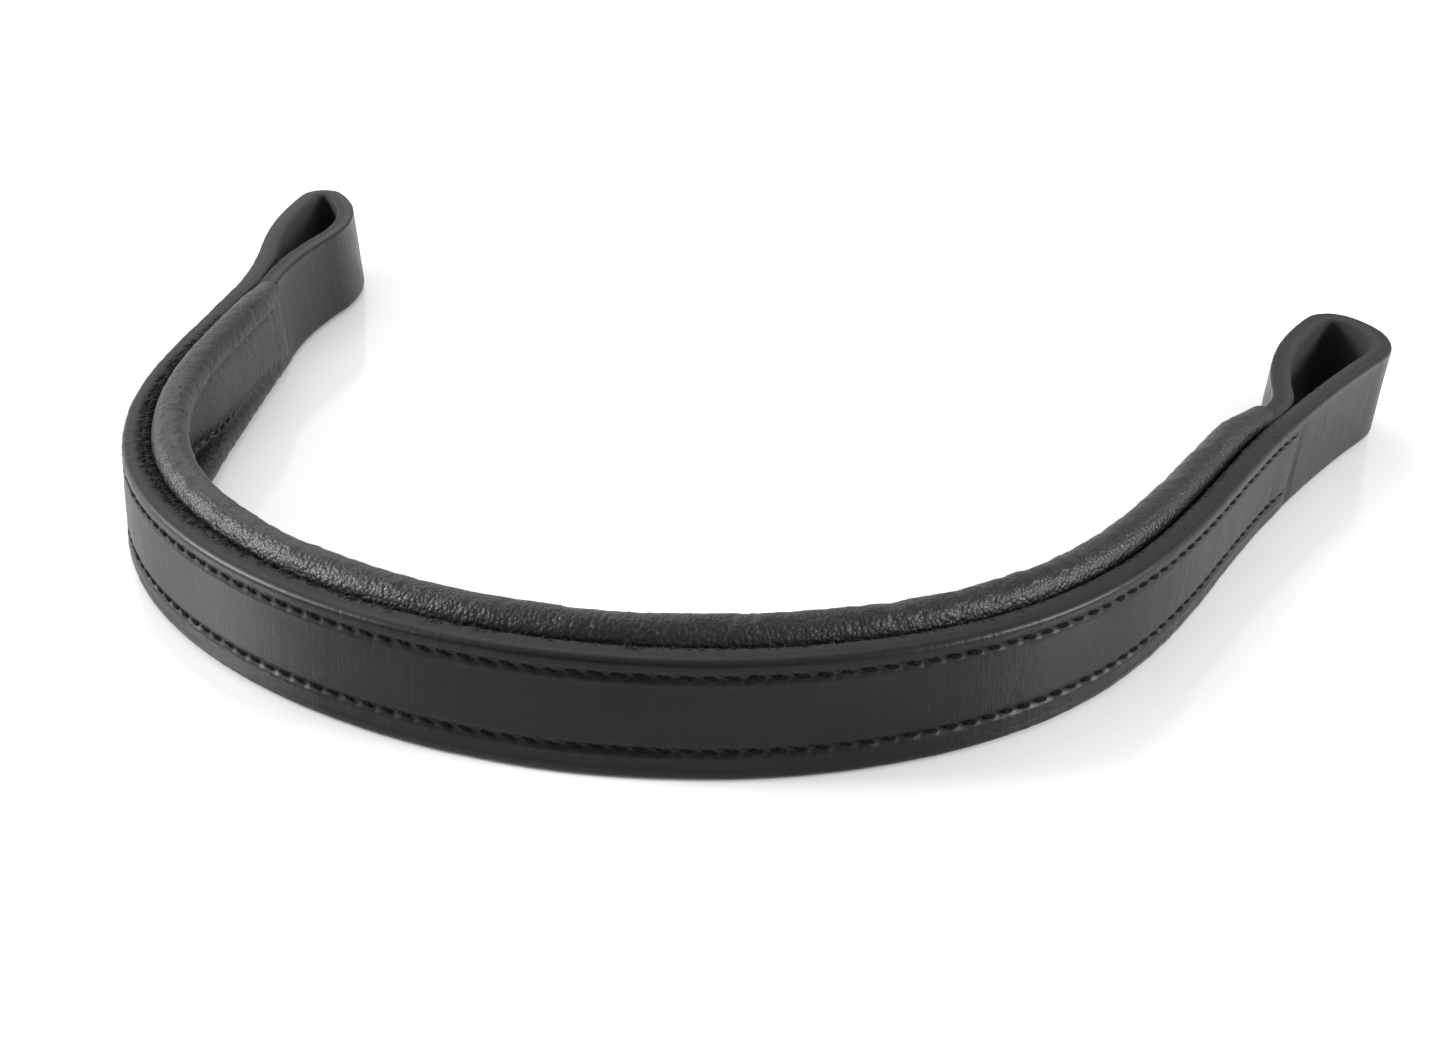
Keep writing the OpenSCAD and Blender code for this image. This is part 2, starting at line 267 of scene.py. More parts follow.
def push(out, z, relief):
    """move outlines that run anticlockwise in (out, z) along their own normals"""
    d_out = np.roll(out, -1, 1) - np.roll(out, 1, 1)
    d_z = np.roll(z, -1, 1) - np.roll(z, 1, 1)
    size = np.maximum(np.hypot(d_out, d_z), 1e-9)
    return out + relief * (d_z / size), z + relief * (-d_out / size)


def grid_normals(points):
    """normals of rings of points; outward where anticlockwise rings run towards +along"""
    around = np.roll(points, -1, 1) - np.roll(points, 1, 1)
    length = np.empty_like(points)
    length[1:-1] = points[2:] - points[:-2]
    length[0], length[-1] = points[1] - points[0], points[-1] - points[-2]
    normals = np.cross(length, around)
    normals /= np.maximum(np.linalg.norm(normals, axis=-1, keepdims=True), 1e-12)
    return normals


def tube_quads(rings, around):
    i = np.arange(rings - 1)[:, None] * around
    j = np.arange(around)[None, :]
    j_next = (j + 1) % around
    corners = [i + j, i + j_next, i + around + j_next, i + around + j]
    return np.stack(corners, -1).reshape(-1, 4)


def closed_tube_faces(rings, around):
    caps = [list(range(around))[::-1], list(range((rings - 1) * around, rings * around))]
    return tube_quads(rings, around).tolist() + caps


def link_object(name, data):
    ob = bpy.data.objects.new(name, data)
    bpy.context.scene.collection.objects.link(ob)
    return ob


def add_vectors(mesh, name, values):
    attribute = mesh.attributes.new(name, "FLOAT_VECTOR", "POINT")
    attribute.data.foreach_set("vector", values.astype(np.float32).ravel())


def grid_object(name, points, normals, attributes, material):
    """closed tube from points[ring, around], with custom normals and attributes"""
    rings, around = points.shape[:2]
    vertices = points.reshape(-1, 3) * MM
    quads = tube_quads(rings, around)
    loops = quads.reshape(-1)
    sizes = np.full(len(quads), 4)
    corner_normals = normals.reshape(-1, 3)[loops]
    first_ring = np.arange(around)
    for cap in (first_ring[::-1], first_ring + (rings - 1) * around):
        corners = vertices[cap]
        cap_normal = np.cross(corners, np.roll(corners, -1, 0)).sum(0)
        cap_normal = cap_normal / max(np.linalg.norm(cap_normal), 1e-20)
        loops = np.concatenate([loops, cap])
        sizes = np.concatenate([sizes, [around]])
        corner_normals = np.concatenate([corner_normals, np.tile(cap_normal, (around, 1))])
    mesh = bpy.data.meshes.new(name)
    mesh.vertices.add(len(vertices))
    mesh.vertices.foreach_set("co", vertices.astype(np.float32).ravel())
    mesh.loops.add(len(loops))
    mesh.loops.foreach_set("vertex_index", loops.astype(np.int32))
    mesh.polygons.add(len(sizes))
    starts = np.concatenate([[0], np.cumsum(sizes)[:-1]])
    mesh.polygons.foreach_set("loop_start", starts.astype(np.int32))
    mesh.polygons.foreach_set("use_smooth", np.ones(len(sizes), bool))
    mesh.update(calc_edges=True)
    mesh.validate()
    for key, values in attributes.items():
        if values.ndim == 3:
            add_vectors(mesh, key, values)
        else:
            attribute = mesh.attributes.new(key, "FLOAT", "POINT")
            attribute.data.foreach_set("value", values.astype(np.float32).ravel())
    mesh.normals_split_custom_set([tuple(normal) for normal in corner_normals])
    mesh.materials.append(material)
    return link_object(name, mesh)


def strand_object(name, points, faces, strap_co, material):
    """mesh of many small strands"""
    mesh = bpy.data.meshes.new(name)
    mesh.from_pydata((points.reshape(-1, 3) * MM).tolist(), [], faces)
    mesh.polygons.foreach_set("use_smooth", np.ones(len(mesh.polygons), bool))
    add_vectors(mesh, "strap_co", strap_co)
    mesh.update()
    mesh.materials.append(material)
    return link_object(name, mesh)


# =====================================================================
# Pieces: each layer is cut into three on each side
# =====================================================================
def pieces(side, trim):
    """(index, name ending, start, end) outwards from the middle, ending trim short"""
    edges = (0.0, *CUTS, LENGTH[side] - trim)
    return [(k, f"{PARTS[k]}_{SIDE[side]}", edges[k], edges[k + 1]) for k in range(3)]


def cad_nodes(layer, side, k):
    """CAD nodes that the k-th piece of a layer stands for"""
    if k == 0:
        return [f"{layer}_front", f"{layer}_temple_{SIDE[side]}"]
    if k == 1:
        return [f"{layer}_arm_{SIDE[side]}"]
    return []


def finish_piece(ob, nodes):
    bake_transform(ob)
    if nodes:
        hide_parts(*nodes)


# =====================================================================
# Materials
# =====================================================================
class Nodes:
    """a node tree, emptied and ready to be filled"""

    def __init__(self, tree):
        self.tree = tree
        tree.nodes.clear()

    def node(self, kind, inputs=None, **properties):
        node = self.tree.nodes.new(kind)
        for key, value in properties.items():
            setattr(node, key, value)
        for key, value in (inputs or {}).items():
            self.feed(node.inputs[key], value)
        return node

    def feed(self, socket, value):
        """set a socket to a number or an RGB colour, or link an output to it"""
        if isinstance(value, (int, float)):
            socket.default_value = value
        elif isinstance(value, tuple):
            socket.default_value = (*value, 1)
        else:
            self.tree.links.new(value, socket)

    def math(self, operation, first, second=0.0):
        return self.node("ShaderNodeMath", {0: first, 1: second}, operation=operation).outputs[0]

    def plus(self, first, second):
        return self.math("ADD", first, second)

    def minus(self, first, second):
        return self.math("SUBTRACT", first, second)

    def times(self, first, second):
        return self.math("MULTIPLY", first, second)


class Material(Nodes):
    """a Principled material; textures read strap coordinates in millimetres"""

    def __init__(self, name):
        self.material = bpy.data.materials.new(name)
        self.material.use_nodes = True
        super().__init__(self.material.node_tree)
        output = self.node("ShaderNodeOutputMaterial")
        self.principled = self.node("ShaderNodeBsdfPrincipled")
        self.feed(output.inputs[0], self.principled.outputs[0])

    def surface(self, color, roughness, specular=None, normal=None):
        values = {"Base Color": color, "Roughness": roughness,
                  "Specular IOR Level": specular, "Normal": normal}
        for key, value in values.items():
            if value is not None:
                self.feed(self.principled.inputs[key], value)
        return self.material

    def attribute(self, name, output="Fac"):
        return self.node("ShaderNodeAttribute", attribute_name=name).outputs[output]

    def scaled(self, vector, scale):
        node = self.node("ShaderNodeMapping")
        node.inputs["Scale"].default_value = scale
        self.feed(node.inputs["Vector"], vector)
        return node.outputs[0]

    def noise(self, vector, scale, detail, roughness=0.55, distortion=0.0):
        return self.node("ShaderNodeTexNoise", {
            "Scale": scale, "Detail": detail, "Roughness": roughness,
            "Distortion": distortion, "Vector": vector}).outputs["Fac"]

    def voronoi(self, vector, scale, feature="F1"):
        node = self.node("ShaderNodeTexVoronoi", feature=feature)
        self.feed(node.inputs["Scale"], scale)
        self.feed(node.inputs["Vector"], vector)
        return node.outputs["Distance"]

    def ramp(self, factor, stops):
        """stops are (position, grey)"""
        node = self.node("ShaderNodeValToRGB", {0: factor})
        elements = node.color_ramp.elements
        while len(elements) < len(stops):
            elements.new(0.5)
        for element, (position, grey) in zip(elements, stops):
            element.position = position
            element.color = (grey, grey, grey, 1)
        return node.outputs[0]

    def mix(self, factor, first, second):
        inputs = {0: factor, 6: first, 7: second}
        return self.node("ShaderNodeMix", None, data_type="RGBA"), inputs

    def blend(self, factor, first, second):
        """colour that goes from first to second"""
        node, inputs = self.mix(factor, first, second)
        for key, value in inputs.items():
            self.feed(node.inputs[key], value)
        return node.outputs[2]

    def bump(self, height, distance, strength, over=None):
        """distance in metres; over is the normal the bumps are added to"""
        node = self.node("ShaderNodeBump", {
            "Strength": strength, "Distance": distance, "Height": height})
        if over is not None:
            self.feed(node.inputs["Normal"], over)
        return node.outputs[0]

    def remap(self, value, source, target):
        return self.node("ShaderNodeMapRange", {
            1: source[0], 2: source[1], 3: target[0], 4: target[1], 0: value}).outputs[0]


def bridle_leather():
    mat = Material("bridle_leather")
    coords = mat.attribute("strap_co", "Vector")
    flesh = mat.attribute("flesh")
    edge = mat.attribute("edge")
    rough_edge = mat.attribute("rough_edge")
    broad = mat.noise(mat.scaled(coords, (0.06, 0.10, 0.10)), scale=1.0, detail=4)
    fine = mat.noise(mat.scaled(coords, (1.0, 1.0, 0.0)), scale=3.2, detail=6, roughness=0.62)
    pores = mat.voronoi(mat.scaled(coords, (1.0, 0.8, 0.0)), scale=3.4)
    streaks = mat.noise(mat.scaled(coords, (1.6, 0.16, 0.0)),
                        scale=1.4, detail=5, roughness=0.6, distortion=0.5)
    # near black, paler in streaks, along the cut edges and on the flesh side
    color = mat.blend(mat.remap(broad, source=(0.35, 0.7), target=(0, 1)),
                      (0.0030, 0.0030, 0.0034), (0.0060, 0.0060, 0.0066))
    streaky = mat.times(mat.remap(streaks, source=(0.52, 0.75), target=(0, 1)), 0.35)
    color = mat.blend(streaky, color, (0.011, 0.011, 0.0116))
    color = mat.blend(mat.times(edge, 0.35), color, (0.008, 0.008, 0.0083))
    color = mat.blend(mat.times(flesh, 0.8), color, (0.045, 0.045, 0.048))
    roughness = mat.remap(fine, source=(0.3, 0.75), target=(0.33, 0.44))
    roughness = mat.plus(roughness, mat.times(flesh, 0.35))
    # the turned corner of the edge is rubbed smooth
    crest = mat.times(mat.times(edge, mat.minus(1.0, edge)), 4.0)
    roughness = mat.minus(roughness, mat.times(crest, 0.13))
    roughness = mat.plus(roughness, mat.times(rough_edge, 0.25))
    roughness = mat.plus(roughness, mat.times(edge, 0.12))
    grain = mat.plus(mat.times(fine, 0.5),
                     mat.times(mat.ramp(pores, [(0.0, 0.0), (0.28, 1.0)]), 0.35))
    normal = mat.bump(grain, distance=0.00003, strength=0.5)
    normal = mat.bump(streaks, distance=0.00010, strength=0.5, over=normal)
    fuzz = mat.noise(mat.scaled(coords, (1.0, 1.0, 1.0)), scale=7.0, detail=6, roughness=0.75)
    normal = mat.bump(mat.times(fuzz, mat.math("MAXIMUM", flesh, rough_edge)),
                      distance=0.00022, strength=0.9, over=normal)
    return mat.surface(color, roughness, specular=0.25, normal=normal)


def lining_leather():
    mat = Material("lining_leather")
    coords = mat.attribute("strap_co", "Vector")
    grain = mat.attribute("grain")
    surface_scale = (1.0, 1.0, 0.0)
    pebble_scale = 1.9
    broad = mat.noise(mat.scaled(coords, (0.08, 0.16, 0.16)), scale=1.0, detail=4)
    pebbles = mat.voronoi(mat.scaled(coords, surface_scale), pebble_scale, "DISTANCE_TO_EDGE")
    centres = mat.voronoi(mat.scaled(coords, surface_scale), pebble_scale)
    domes = mat.minus(1.0, mat.math("POWER", centres, 1.6))
    small = mat.voronoi(mat.scaled(coords, surface_scale), 4.6, "DISTANCE_TO_EDGE")
    fine = mat.noise(mat.scaled(coords, surface_scale), scale=5.0, detail=5, roughness=0.65)
    tops = mat.ramp(pebbles, [(0.0, 0.0), (0.10, 0.8), (0.3, 1.0)])
    color = mat.blend(mat.remap(broad, source=(0.35, 0.7), target=(0, 1)),
                      (0.0045, 0.0045, 0.0048), (0.0080, 0.0080, 0.0084))
    # painted shade: the colour is darker in the valleys between the pebbles
    color = mat.blend(mat.times(mat.minus(1.0, tops), 0.5), color, (0.005, 0.005, 0.005))
    # shinier on top of the grain than between it
    roughness = mat.remap(fine, source=(0.3, 0.75), target=(0.28, 0.42))
    roughness = mat.plus(roughness, mat.times(mat.minus(1.0, grain), 0.12))
    small_tops = mat.ramp(small, [(0.0, 0.0), (0.12, 0.8), (0.3, 1.0)])
    normal = mat.bump(domes, distance=0.00014, strength=0.8)
    normal = mat.bump(small_tops, distance=0.00002, strength=0.5, over=normal)
    normal = mat.bump(fine, distance=0.00003, strength=0.5, over=normal)
    return mat.surface(color, roughness, specular=0.40, normal=normal)


def waxed_thread():
    mat = Material("waxed_thread")
    coords = mat.attribute("strap_co", "Vector")
    split = mat.node("ShaderNodeSeparateXYZ", {0: coords})
    # plies wind round the thread: x is its length, y the angle around it
    winding = mat.plus(mat.times(split.outputs[0], 9.0), mat.times(split.outputs[1], 2.0))
    plies = mat.math("SINE", winding)
    fibres = mat.noise(mat.scaled(coords, (2.0, 3.0, 1.0)), scale=6.0, detail=4, roughness=0.7)
    color = mat.blend(fibres, (0.0012, 0.0012, 0.0014), (0.0040, 0.0040, 0.0044))
    normal = mat.bump(plies, distance=0.00006, strength=0.7)
    normal = mat.bump(fibres, distance=0.00006, strength=0.6, over=normal)
    return mat.surface(color, roughness=0.7, specular=0.10, normal=normal)


def foam():
    mat = Material("foam")
    coords = mat.node("ShaderNodeTexCoord").outputs["Object"]
    pores = mat.voronoi(coords, scale=2600.0)
    mottling = mat.noise(coords, scale=400.0, detail=4)
    color = mat.blend(mottling, (0.10, 0.10, 0.105), (0.16, 0.16, 0.165))
    normal = mat.bump(pores, distance=0.0001, strength=0.8)
    return mat.surface(color, roughness=0.95, normal=normal)


def raw_fibres():
    mat = Material("raw_fibres")
    coords = mat.attribute("strap_co", "Vector")
    patches = mat.noise(mat.scaled(coords, (3.0, 5.0, 4.0)), scale=2.0, detail=3)
    color = mat.blend(mat.remap(patches, source=(0.50, 0.68), target=(0, 1)),
                      (0.0015, 0.0015, 0.0017), (0.055, 0.055, 0.058))
    return mat.surface(color, roughness=0.75, specular=0.25)


# =====================================================================
# The face strap: on each side the sewn strap, its loop and the tail
# =====================================================================
STRAP_AROUND = 144                     # points around the strap


def strap_outline(thick, bottom, top, face_r, back_r):
    """(out from the centre line, z), starting mid face and going up"""
    half = thick / 2
    low_r = min(face_r, 0.6)
    return np.concatenate([
        [[half, (bottom + top) / 2]],
        arc(half - face_r, top - face_r, face_r, 0, 90, 14),
        arc(-half + back_r, top - back_r, back_r, 90, 180, 12),
        arc(-half + back_r, bottom + back_r, back_r, 180, 270, 12),
        arc(half - low_r, bottom + low_r, low_r, 270, 360, 14)])


def strap_path(side):
    """x, y, heading, length run and thickness at each ring, and where the loop ends"""
    throat = LENGTH[side]
    sewn_at = np.arange(0, throat, STEP)
    x, y, heading = plan(sewn_at)
    x, y = offset(x, y, heading, -STRAP_T / 2)
    loop_at, *loop = loop_path(side)
    loop_length = loop_at[-1]
    ring_at = np.arange(0, loop_length, 0.36)
    loop_x, loop_y, loop_heading = (np.interp(ring_at, loop_at, values) for values in loop)
    # the tail goes back inside the lining and tapers to a wedge
    tail_at = np.arange(throat - 0.05, TAIL_INNER, -0.8)
    tail_x, tail_y, tail_heading = plan(tail_at)
    tail_t = np.interp(tail_at, [TAIL_INNER, throat - 4, throat], [0.9, 2.9, LOOP_T])
    tail_x, tail_y = offset(tail_x, tail_y, tail_heading, LINING_FRONT - tail_t / 2)
    return (np.concatenate([x, loop_x, tail_x]),
            np.concatenate([y, loop_y, tail_y]),
            np.concatenate([heading, loop_heading, tail_heading + math.pi]),
            np.concatenate([sewn_at, throat + ring_at,
                            throat + loop_length + (throat - tail_at)]),
            np.concatenate([np.full(len(sewn_at), STRAP_T),
                            np.full(len(ring_at), LOOP_T), tail_t]),
            throat + loop_length)


def sewn_relief(along, z, face, seed):
    """stitch channels, raised margins and a gentle crown on the sewn strap"""
    relief = np.zeros_like(z)
    phase = np.cos(2 * np.pi * (along / PITCH))
    swell = 0.80 + 0.20 * np.cos(2 * np.pi * (along / PITCH - 0.18)) ** 2
    for row, below_share in ((ROW_LOW, 1.0), (ROW_HIGH, 0.45)):
        relief -= 0.17 * bell(z, row, 0.62)
        # each stitch pulls the leather in at its two holes and lets it swell between
        relief -= 0.20 * bell(z, row, 0.465) * (0.5 - 0.5 * phase) ** 2
        uneven = 0.75 + 0.5 * noise(along / PITCH, row, seed + 40)
        relief += 0.22 * below_share * bell(z, row - 0.78, 0.32) * swell * uneven
        relief += 0.03 * bell(z, row + 0.85, 0.40)
    # raised margins and a crease line pressed along each edge: (height, z, width)
    for height, centre, width in ((0.03, 14.9, 0.7), (0.08, 2.4, 0.7),
                                  (-0.05, STRAP_Z + 1.05, 0.16),
                                  (-0.05, STRAP_TOP - 1.05, 0.16)):
        relief += height * bell(z, centre, width)
    relief += 0.15 * bell(z, 1.25, 0.20) * face
    relief += 0.06 * np.clip(1 - ((z - MID_Z) / 4.3) ** 2, 0, 1)
    return relief


def bend_relief(run, along, z, throat, loop_end, seed):
    """fine, nearly upright wrinkles, strongest where the strap turns most"""
    strength = np.interp(run, [0, 45, 75, 110, 135, throat, throat + 8, loop_end],
                         [0.12, 0.25, 0.8, 0.9, 0.9, 1.0, 0.6, 0.35])
    warp = 1.1 * layered_noise(along / 9.0, z / 7.0, seed + 3, 3)
    lines = creases(noise((along + warp) / 0.85, z / 5.5, seed + 5), 0.22)
    waves = noise((along + warp * 1.6) / 1.9, z / 7.5, seed + 8)
    return (0.074 * lines * (0.3 + 0.7 * np.clip(waves + 0.3, 0, 1)) + 0.046 * waves) * strength


def strap_half(side):
    """points, attributes and length run of one half of the strap"""
    throat = LENGTH[side]
    x, y, heading, run, thick, loop_end = strap_path(side)
    to_throat = throat - run
    sewn = ease(-6, 6, to_throat)              # 1 on the sewn strap, 0 in the loop
    near = (run > throat - 3) & (run < throat + 3)
    thick[near] = LOOP_T + (STRAP_T - LOOP_T) * ease(-3, 3, to_throat[near])
    tucked = np.where(run > loop_end, run - loop_end, 0.0)     # under the lining
    bottom = STRAP_Z + LOOP_RAISE * (1 - ease(-7, 5, to_throat)) + 2.8 * ease(0.0, 10.0, tucked)
    top = STRAP_TOP - 0.1 * (1 - sewn) - 1.9 * ease(0.0, 12.0, tucked)
    out, z, around = (np.zeros((len(run), STRAP_AROUND)) for _ in range(3))
    for i in range(len(run)):
        outline = strap_outline(thick[i], bottom[i], top[i],
                                min(0.5 + 0.42 * sewn[i], thick[i] * 0.42),
                                min(0.45, thick[i] * 0.4))
        ring, distance = resample(outline, STRAP_AROUND)
        out[i], z[i] = ring[:, 0], ring[:, 1]
        perimeter = 2 * (thick[i] + top[i] - bottom[i]) - 3
        around[i] = (distance + perimeter / 2) % perimeter

    # from here on, one column per value that is constant around a ring
    seed = 11 if side > 0 else 47
    sewn_only = (sewn * (run < throat))[:, None]
    half = thick[:, None] / 2
    run_ring = run[:, None]
    along = run_ring * side
    in_loop = (run_ring > throat - 1) & (run_ring < loop_end + 1)
    face = ease(-0.2, 0.6, out / half)
    back = ease(-0.2, 0.6, -out / half)
    relief = sewn_relief(along, z, face, seed) * sewn_only
    relief += bend_relief(run_ring, along, z, throat, loop_end, seed) * face
    # the leather swells over the last stitches and is pinched where the loop starts
    past = run_ring - throat
    relief += ((0.10 * bell(past, -3.0, 2.0) - 0.24 * bell(past - 0.02 * z, 1.4, 1.3))
               * face * ease(0.6, 2.6, z) * ease(15.6, 13.4, z))
    # slow unevenness of the hide, then a finer one
    relief += 0.05 * layered_noise(along / 14.0, z / 9.0, seed + 1, 3)
    relief += 0.012 * layered_noise(along / 1.1, z / 1.1, seed + 2, 3)
    # rough cut edge on top towards the lining, roughest on the left arm's bend
    rough = bell(z, STRAP_TOP, 0.9) * ease(0.35, -0.6, out / half) * (run_ring < loop_end)
    rough = rough * np.interp(along, [-130, -105, -60, -30, 60, 160],
                              [0.25, 1.0, 0.8, 0.35, 0.22, 0.3])
    relief += rough * (0.30 * layered_noise(along / 0.8, out / 0.6 + 3.0, seed + 20, 3) - 0.10)
    # flesh side inside the loops
    relief += in_loop * 0.05 * layered_noise(along / 0.6, z / 0.6, seed + 30, 2) * back

    pushed_out, pushed_z = push(out, z, relief)
    plan_x, plan_y = offset(x[:, None], y[:, None], heading[:, None], pushed_out)
    points = np.stack([plan_x * side, plan_y, pushed_z], -1)
    twist(points, np.minimum(run, throat) * side)
    attributes = {
        "strap_co": np.stack(np.broadcast_arrays(along, around, z), -1),
        "flesh": back * np.where(in_loop, 1.0, 0.6),
        "edge": np.clip(bell(z, STRAP_TOP, 0.7) + bell(z, STRAP_Z, 0.7), 0, 1),
        "rough_edge": np.clip(rough, 0, 1),
    }
    return points, attributes, run


def build_strap(material):
    halves = {side: strap_half(side) for side in (1, -1)}
    # outward normals that look past the middle, so that it has no seam
    normals = {}
    for side in (1, -1):
        across = np.concatenate([halves[-side][0][1:2], halves[side][0]])
        normals[side] = side * grid_normals(across)[1:]
    halves[-1][0][0] = halves[1][0][0]
    normals[-1][0] = normals[1][0]
    for side, (points, attributes, run) in halves.items():
        # neighbouring pieces share the ring at each cut
        rings = [int(np.argmin(np.abs(run - cut))) for cut in (0.0, *CUTS)] + [len(run) - 1]
        for k, part in enumerate(("forehead", "temple", "loop")):
            # the right side runs the other way round
            cut = (slice(rings[k], rings[k + 1] + 1), slice(None, None, -side))
            ob = grid_object(f"face_strap_{part}_{SIDE[side]}", points[cut], normals[side][cut],
                             {key: values[cut] for key, values in attributes.items()}, material)
            nodes = cad_nodes("face_strap", side, k)
            if part == "loop":
                nodes = [f"loop_{SIDE[side]}", f"tail_{SIDE[side]}"]
            finish_piece(ob, nodes)


# =====================================================================
# Raw fibres standing along the strap's inner top edge
# =====================================================================
def fibre_object(name, start, end, side, seed, material):
    random = np.random.RandomState(seed)
    roots = []
    for station in np.arange(start, end, 0.5):
        crowd = np.interp(side * station, [-135, -118, -100, -60, -30, 0, 60, 150],
                          [1.0, 7.0, 16.0, 14.0, 6.5, 3.5, 3.0, 1.5])
        roots.append(station + 0.5 * random.rand(random.poisson(crowd)))
    root = np.concatenate(roots) * side
    root = root[np.abs(root) > start]
    count = len(root)
    fullness = np.interp(root, [-135, -110, -60, -25, 150], [0.5, 1.0, 0.95, 0.6, 0.5])
    root_out = -2.85 - 0.60 * random.rand(count)
    root_z = 15.86 - 0.35 * ease(-3.0, -3.5, root_out)
    length = (0.50 + 1.15 * random.rand(count)) * fullness
    # most fibres point inwards over the lining, nearly half are turned about
    azimuth = random.uniform(-1.2, 1.2, count) + np.where(random.rand(count) < 0.45, np.pi, 0.0)
    rise = random.uniform(0.0, 0.5, count)
    curl = random.normal(0, 0.5, count)
    t = np.linspace(0, 1, 4)[None]
    along = (root[:, None] + (length * np.sin(azimuth) * np.cos(rise))[:, None] * t
             + (0.35 * length * curl)[:, None] * t * t)
    out = root_out[:, None] - (length * np.cos(azimuth) * np.cos(rise))[:, None] * t
    z = (root_z[:, None] + (length * np.sin(rise))[:, None] * t
         - (0.25 * length)[:, None] * t * t)
    centre = place(along.ravel(), out.ravel(), z.ravel())[:, None]
    centre = twist(centre, along.ravel()).reshape(count, 4, 3)
    tangent = centre[:, -1] - centre[:, 0]
    tangent /= np.maximum(np.linalg.norm(tangent, axis=1)[:, None], 1e-9)
    across = np.cross(tangent, [0.31, 0.17, 0.94])     # any direction off the tangent
    across /= np.linalg.norm(across, axis=1)[:, None]
    third = np.cross(tangent, across)
    radius = (0.055 + 0.040 * random.rand(count))[:, None] * (1 - 0.6 * t)
    angle = np.radians([0, 120, 240])[None, None, :, None]
    points = centre[:, :, None] + radius[:, :, None, None] * (
        np.cos(angle) * across[:, None, None] + np.sin(angle) * third[:, None, None])
    first = np.arange(count)[:, None] * 12
    quads = (first[:, :, None] + tube_quads(4, 3)).reshape(-1, 4)
    caps = np.concatenate([first + np.array([2, 1, 0]), first + np.array([9, 10, 11])])
    strap_co = np.repeat(np.stack([root, root_out, length], -1), 12, 0)
    return strand_object(name, points, quads.tolist() + caps.tolist(), strap_co, material)


def build_fibres(material):
    for side in (1, -1):
        for k, ending, start, end in pieces(side, trim=1.0):
            ob = fibre_object(f"edge_fibres_{ending}", start, end, side,
                              300 + k + 5 * (side > 0), material)
            finish_piece(ob, [])


# =====================================================================
# The lining: upper roll, flat middle, lower roll
# =====================================================================
LINING_AROUND = 150                    # points around the lining


def flat_depth(along, distance):
    """"out" of the flat's inner face; distance is from the throat"""
    depth = FLAT_OUT + (ARM_FLAT_OUT - FLAT_OUT) * on_arm(along)
    eased = THROAT_FLAT_OUT + (depth - THROAT_FLAT_OUT) * ease(0.0, 3.5, distance)
    return np.where(distance < 3.5, eased, depth)


def row_depth(along, flat, full):
    """"out" of the pulled-in stitch rows"""
    return flat + 0.30 * (0.3 + 0.7 * full) * (1 - 0.6 * on_arm(along))


def lining_outline(along, distance):
    """(out, z) outline; distance is from the throat, where the padding thins out"""
    full = ease(-1.0, 12.0, distance)
    end_r, end_top = (2.45, 16.9) if along > 0 else (2.1, 16.5)
    roll_r = end_r + (ROLL_R - 0.1 - end_r) * full
    roll_z = end_top + (ROLL_Z + ROLL_R - end_top) * full - roll_r
    roll_out = LINING_FRONT - roll_r - 0.42 * full
    arm = ease(70.0, 100.0, abs(along))
    if along > 0:
        end_low_r = 2.05
        low_r = end_low_r + (LOW_R - end_low_r) * full
        low_half = low_r + 0.45 * arm * full
        bottom = 0.95 * (1 - full)
    else:
        # on this arm the lower roll runs out slowly towards the loop
        slow = ease(-4.0, 46.0, distance)
        end_low_r = 1.55
        low_r = end_low_r + (LOW_R - 0.45 * arm - end_low_r) * slow
        low_half = low_r + 0.55 * (1 - slow) + 1.40 * arm * slow
        bottom = 0.45 * (1 - slow)
    flat = flat_depth(along, distance)
    row = row_depth(along, flat, full)
    # the pinches between the rolls and the flat open out at both ends
    pinch = ease(0.0, 14.0, distance)
    upper = arc(roll_out, roll_z, roll_r, -20, 205 + 27 * pinch, 54)
    # the flat is slightly pillowed between the two pulled-in stitch rows
    t = np.linspace(0, 1, 40)
    flat_z = ROW_HIGH + 0.1 + (ROW_LOW - ROW_HIGH - 0.2) * t
    pillow = np.clip(1 - (2 * t - 1) ** 4, 0, 1) ** 0.8
    pillow_out = flat - 0.42 * full * (1 - 0.5 * on_arm(along))
    middle = np.stack([row + (pillow_out - row) * pillow, flat_z], -1)
    lower = (arc(0, bottom + low_r, low_r, 150 - 22 * pinch, 372, 44)
             * np.array([low_half / low_r, 1]) + np.array([LINING_FRONT - low_half, 0]))
    t = np.linspace(0, 1, 14)[1:-1]
    front = lower[-1] + (upper[0] - lower[-1]) * t[:, None]
    return np.concatenate([upper, middle, lower, front])


def lining_ring(along, distance):
    """one smooth, evenly divided ring and its distances around"""
    ring, _ = resample(lining_outline(along, distance), 420)
    width = int(15 + 14 * ease(85.0, 110.0, abs(along)))
    ring = np.stack([smoothed(ring[:, i], width, "wrap") for i in (0, 1)], -1)
    # every ring starts at the same place: against the strap, mid height
    first = np.argmin((ring[:, 1] - MID_Z) ** 2 + (ring[:, 0] < -5) * 100)
    ring, around = resample(np.roll(ring, -first, 0), LINING_AROUND)
    # the last fraction of a millimetre rolls over to a thin edge
    lip = 0.5
    if distance < lip:
        rounding = math.sqrt(max(0.0, 1 - ((lip - distance) / lip) ** 2))
        centre = np.array([-5.3, 8.6])
        ring = centre + (ring - centre) * (0.93 + 0.07 * rounding)
    return ring, around


